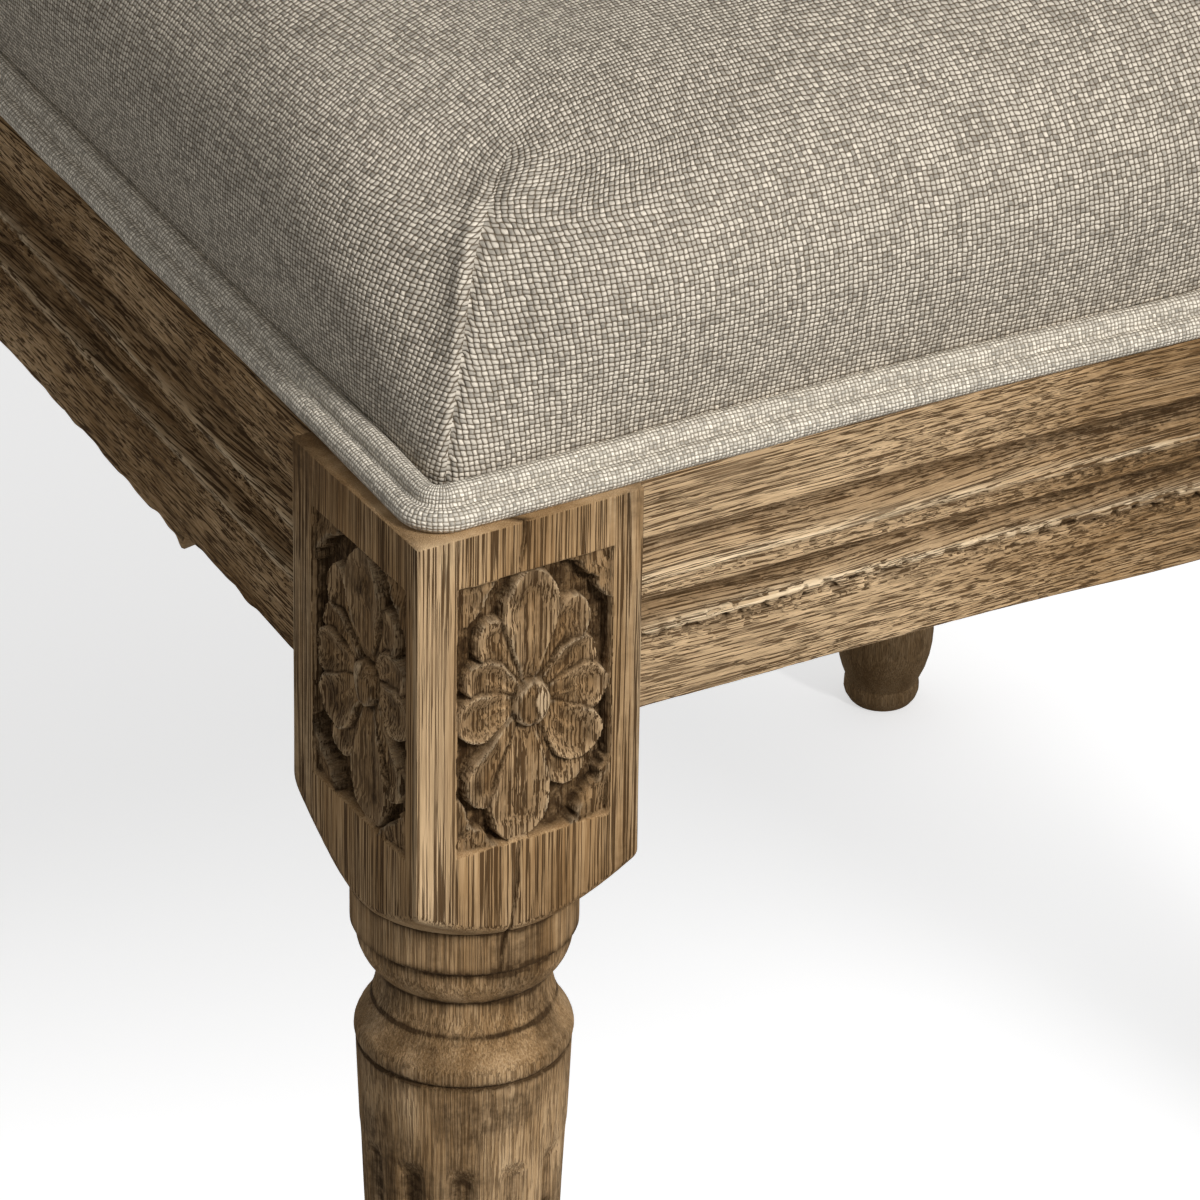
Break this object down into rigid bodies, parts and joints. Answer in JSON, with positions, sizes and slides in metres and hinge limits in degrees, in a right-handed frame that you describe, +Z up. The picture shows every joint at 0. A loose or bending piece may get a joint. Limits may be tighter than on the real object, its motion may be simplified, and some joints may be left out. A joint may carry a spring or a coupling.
{
  "type": "upholstered dining chair",
  "caption": "Weathered oak dining chair with carved and turned front legs, moulded serpentine seat rail, crowned linen seat with double welt, and upholstered back.",
  "frame": {"origin": "on the floor under the middle of the chair's bounding box", "axes": "+Z up, -Y towards the front of the seat, +X to the right as seen from the front"},
  "size_m": [0.48, 0.5798, 1.0104],
  "materials": {
    "weathered_oak": "matte",
    "block_wood": "matte",
    "screw_steel": "satin",
    "jute_webbing": "matte",
    "hessian": "matte",
    "foam": "matte",
    "linen": "matte",
    "dust_cloth": "matte"
  },
  "bodies": {
    "root": {"back_cover_front": "linen", "back_cover_rear": "linen", "back_foam": "foam", "back_hessian": "hessian", "back_post_left": "weathered_oak", "back_post_right": "weathered_oak", "back_rail": "weathered_oak", "back_webbing": "jute_webbing", "back_welt_front": "linen", "back_welt_rear": "linen", "corner_block_back_left": "block_wood", "corner_block_back_right": "block_wood", "corner_block_front_left": "block_wood", "corner_block_front_right": "block_wood", "corner_block_screws": "screw_steel", "crest_rail": "weathered_oak", "dust_cover": "dust_cloth", "front_leg_left": "weathered_oak", "front_leg_right": "weathered_oak", "front_rail": "weathered_oak", "lower_back_rail": "weathered_oak", "seat_cover": "linen", "seat_foam": "foam", "seat_hessian": "hessian", "seat_webbing_cross": "jute_webbing", "seat_webbing_long": "jute_webbing", "seat_welt": "linen", "seat_welt_rear": "linen", "side_rail_left": "weathered_oak", "side_rail_right": "weathered_oak"}
  },
  "joints": []
}
